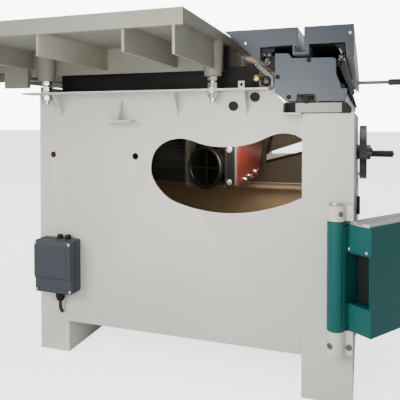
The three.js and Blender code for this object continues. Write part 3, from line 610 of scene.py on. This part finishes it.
add_box(bm, 53, 76, -119, -116.2, 458, 588)
obj_from(bm, "housing_rear_plate", BLACK, "lift_unit", 0.6)
bm = bmesh.new()
add_box(bm, 77, 84.5, -118, -116.2, 458, 588)
obj_from(bm, "housing_rear_strip", DARKS, "lift_unit", 0.4)
bm = bmesh.new()
for z in (566, 466):
    hex_bolt(bm, D(60.4, -119, z), BACK, 6, 4.5)
obj_from(bm, "housing_rear_bolts", STEEL, "lift_unit", 0.4)

# motor: cooling fins, fan cowl louvres and terminal cover
bm = bmesh.new()
for i in range(36):
    a = 2 * math.pi * i / 36
    if 1.10 < (a % (2 * math.pi)) < 2.05:
        continue
    c, s = math.cos(a), math.sin(a)
    r0, r1, w = 79.0, 85.0, 1.7
    pts = []
    for r, d in ((r0, -w), (r1, -w * 0.6), (r1, w * 0.6), (r0, w)):
        pts.append((50 + r * c - d * s, 530 + r * s + d * c))
    add_prism(bm, pts, -280, -128, "x")
obj_from(bm, "motor_fins", MOTORM, "lift_unit", 0.4)
bm = bmesh.new()
add_lathe(bm, [(0, 0), (20, 0), (24, 3), (60, 3), (72, 0), (80, -8), (83, -20), (83, -40), (79.6, -40), (79.6, -22), (70, -10), (0, -9)], D(-304.5, 50, 530), (-1, 0, 0), 56)
obj_from(bm, "motor_fan_cowl", MOTORM, "lift_unit", 0)
bm = bmesh.new()
for k in range(7):
    z = 500 + k * 10
    add_box(bm, -309.8, -307.2, 50 - 34 + abs(k - 3) * 5, 50 + 34 - abs(k - 3) * 5, z - 1.6, z + 1.6)
obj_from(bm, "motor_cowl_louvres", BLACK, "lift_unit", 0.4)
bm = bmesh.new()
add_box(bm, -238, -157, 50 - 48, 50 + 48, 642, 647)
obj_from(bm, "terminal_box_lid", MOTORM, "lift_unit", 1.5, segments=3)
bm = bmesh.new()
for x in (-232, -163):
    for y in (8, 92):
        cross_screw(bm, D(x, y, 647.1), UP, 3.6, 1.8)
obj_from(bm, "terminal_lid_screws", STEEL, "lift_unit", 0)
tube("motor_cable", [(-160, 50, 622), (-146, 58, 622), (-138, 66, 606), (-136, 70, 590)], 5, RUBBER, "lift_unit")

# interior lining: front wall, shelf and floor
bm = bmesh.new()
for x0, x1, z0, z1 in ((-424, -75, 412, 722), (-45, 82, 412, 722), (-75, -45, 412, 585), (-75, -45, 615, 722)):
    add_box(bm, x0, x1, 374.6, 376.6, z0, z1)  # leaves a hole for the lifting wheel's shaft
add_prism(bm, [(82.1, 412), (306, 412), (306, 561), (82.1, 500)], 374.6, 376.6, "y")
add_prism(bm, [(82.1, 528), (306, 603), (306, 722), (82.1, 722)], 374.6, 376.6, "y")
# the front inner wall's dark tan is painted shade
obj_from(bm, "inner_lining_front", TAN_SHADE, "frame", 0)
bm = bmesh.new()
add_prism(bm, [(82, 488), (306, 549), (306, 561), (82, 500)], 368, 374.2, "y")
add_prism(bm, [(80, 524), (94, 527), (131, 700), (119, 700)], 362, 367.6, "y")
obj_from(bm, "scale_opening_edge", BLACK, "frame", 0.5)
bm = bmesh.new()
add_box(bm, 266, 297.6, -350, -346, 672, 697)
obj_from(bm, "ledge_filler", BLACK, "frame", 0.5)
bm = bmesh.new()
add_prism(bm, [(372, 409), (306, 409), (306, 396), (309, 396), (309, 406), (372, 406)], -424, 308, "x")
# the tan of shelf, low wall and floor is primer colour with painted warm shade
obj_from(bm, "inner_shelf", TAN_AND_SHADE, "frame", 0.4)
bm = bmesh.new()
add_box(bm, -424, 424, 374.6, 376.6, 96, 405.6)
obj_from(bm, "inner_lining_low", TAN_AND_SHADE, "frame", 0.3)
bm = bmesh.new()
add_box(bm, -424, 310, -372, 372, 89.6, 91.4)
obj_from(bm, "inner_floor_lining", TAN_AND_SHADE, "frame", 0.3)

# table insert screws, wheel hub caps
bm = bmesh.new()
for y in (-200, 60, 318):
    for x in (56, 98):
        if y != 60 or x == 56:
            cap_screw(bm, D(x, y, 869.0), UP, 2.9, 0.9, 0.7)
obj_from(bm, "insert_screws", STEEL, "frame", 0)
bm = bmesh.new()
add_lathe(bm, [(0, 0), (15, 0), (15, 2), (11, 5), (0, 6.5)], D(470.6, -15, 560), RIGHT, 32)
obj_from(bm, "tilt_wheel_cap", GLOSS, "tilt_wheel", 0)
bm = bmesh.new()
add_lathe(bm, [(0, 0), (15, 0), (15, 2), (11, 5), (0, 6.5)], D(-60, 420.1, 600), (0, 1, 0), 32)
obj_from(bm, "lift_wheel_cap", GLOSS, "lift_wheel", 0)
bm = bmesh.new()
add_lathe(bm, [(13.6, 0), (24, 0), (26, 0.7), (26, 1.6), (23, 2.2), (13.6, 2.2), (13.6, 0)], D(430.7, -15, 560), RIGHT, 40)
bmesh.ops.remove_doubles(bm, verts=bm.verts, dist=1e-6)
obj_from(bm, "tilt_wheel_flange", DARKS, "frame", 0)
bm = bmesh.new()
for y in (-290, 290):
    for z in (120, 464):
        if not (y < 0 and z > 400):
            cross_screw(bm, D(433.9, y, z), RIGHT, 5, 2.4)
obj_from(bm, "access_cover_screws", STEEL, "frame", 0)

# ------------------------------------------------------------------ floor, light, camera
def stage_plane(name, size, z, mt):
    me = bpy.data.meshes.new(name)
    s = size
    me.from_pydata([(-s, -s, z), (s, -s, z), (s, s, z), (-s, s, z)], [], [(0, 1, 2, 3)])
    o = bpy.data.objects.new(name, me)
    bpy.context.scene.collection.objects.link(o)
    me.materials.append(mt)
    o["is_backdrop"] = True


FLOOR = material("studio_floor", (0.86, 0.86, 0.86), 0.75, var=0.01, bump=0.0)
fnt = FLOOR.node_tree
fb = next(n for n in fnt.nodes if n.type == "BSDF_PRINCIPLED")
flp = fnt.nodes.new("ShaderNodeLightPath")
fmr = fnt.nodes.new("ShaderNodeMapRange")
fmr.inputs["To Max"].default_value = 2.2
fnt.links.new(flp.outputs["Is Camera Ray"], fmr.inputs["Value"])
fb.inputs["Emission Color"].default_value = (1, 1, 1, 1)
fnt.links.new(fmr.outputs[0], fb.inputs["Emission Strength"])
stage_plane("studio_floor", 40, -0.0005, FLOOR)

world = bpy.data.worlds.new("studio")
bpy.context.scene.world = world
world.use_nodes = True
bg = world.node_tree.nodes["Background"]
bg.inputs[0].default_value = (1.0, 1.0, 1.0, 1)
path = world.node_tree.nodes.new("ShaderNodeLightPath")
glow = world.node_tree.nodes.new("ShaderNodeMapRange")  # soft on the object, white where it is seen
glow.inputs["To Min"].default_value = 0.5
glow.inputs["To Max"].default_value = 9.0
world.node_tree.links.new(path.outputs["Is Camera Ray"], glow.inputs["Value"])
world.node_tree.links.new(glow.outputs[0], bg.inputs[1])


def area(name, loc, target, size, power, col=(1, 1, 1)):
    d = bpy.data.lights.new(name, "AREA")
    d.shape = "RECTANGLE"
    d.size, d.size_y = size
    d.energy = power
    d.color = col
    o = bpy.data.objects.new(name, d)
    bpy.context.scene.collection.objects.link(o)
    o.location = loc
    o.rotation_euler = (Vector(target) - Vector(loc)).to_track_quat("-Z", "Y").to_euler()
    o.visible_camera = False
    return o


area("key", (-2.0, -3.8, 2.2), (0, -0.3, 0.4), (2.2, 1.8), 150)
area("fill", (3.4, -2.2, 1.6), (0.2, -0.2, 0.5), (2.4, 2.4), 12)
area("top", (-0.3, 0.2, 4.2), (0, 0, 0.5), (4, 4), 70)
area("back", (-1.5, 4.0, 2.4), (0, 0, 0.5), (3, 2), 40)
area("inside", D(160, -150, 690), D(60, 370, 520), (0.25, 0.25), 2.6, (1.0, 0.86, 0.66))
area("opening", D(120, -1100, 640), D(110, 60, 530), (0.5, 0.4), 5.0, (1.0, 0.95, 0.88))

CAM = D(451, -1577, 646)
cd = bpy.data.cameras.new("camera")
cam = bpy.data.objects.new("camera", cd)
bpy.context.scene.collection.objects.link(cam)
bpy.context.scene.camera = cam
cam.location = CAM
cam.rotation_euler = (math.radians(90 - 1.13), 0, math.radians(18.4))
cd.sensor_width = 36
cd.lens = 44.37
cd.clip_start = 0.05
cd.clip_end = 100
# the picture's optical axis is above its middle; any other view is centred
drv = cd.driver_add("shift_y").driver
drv.type = "SCRIPTED"
v = drv.variables.new()
v.name = "x"
v.type = "SINGLE_PROP"
v.targets[0].id_type = "OBJECT"
v.targets[0].id = cam
v.targets[0].data_path = "location[0]"
drv.expression = f"-0.167 if abs(x - {CAM.x:.4f}) < 0.001 else 0"

lo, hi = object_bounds()
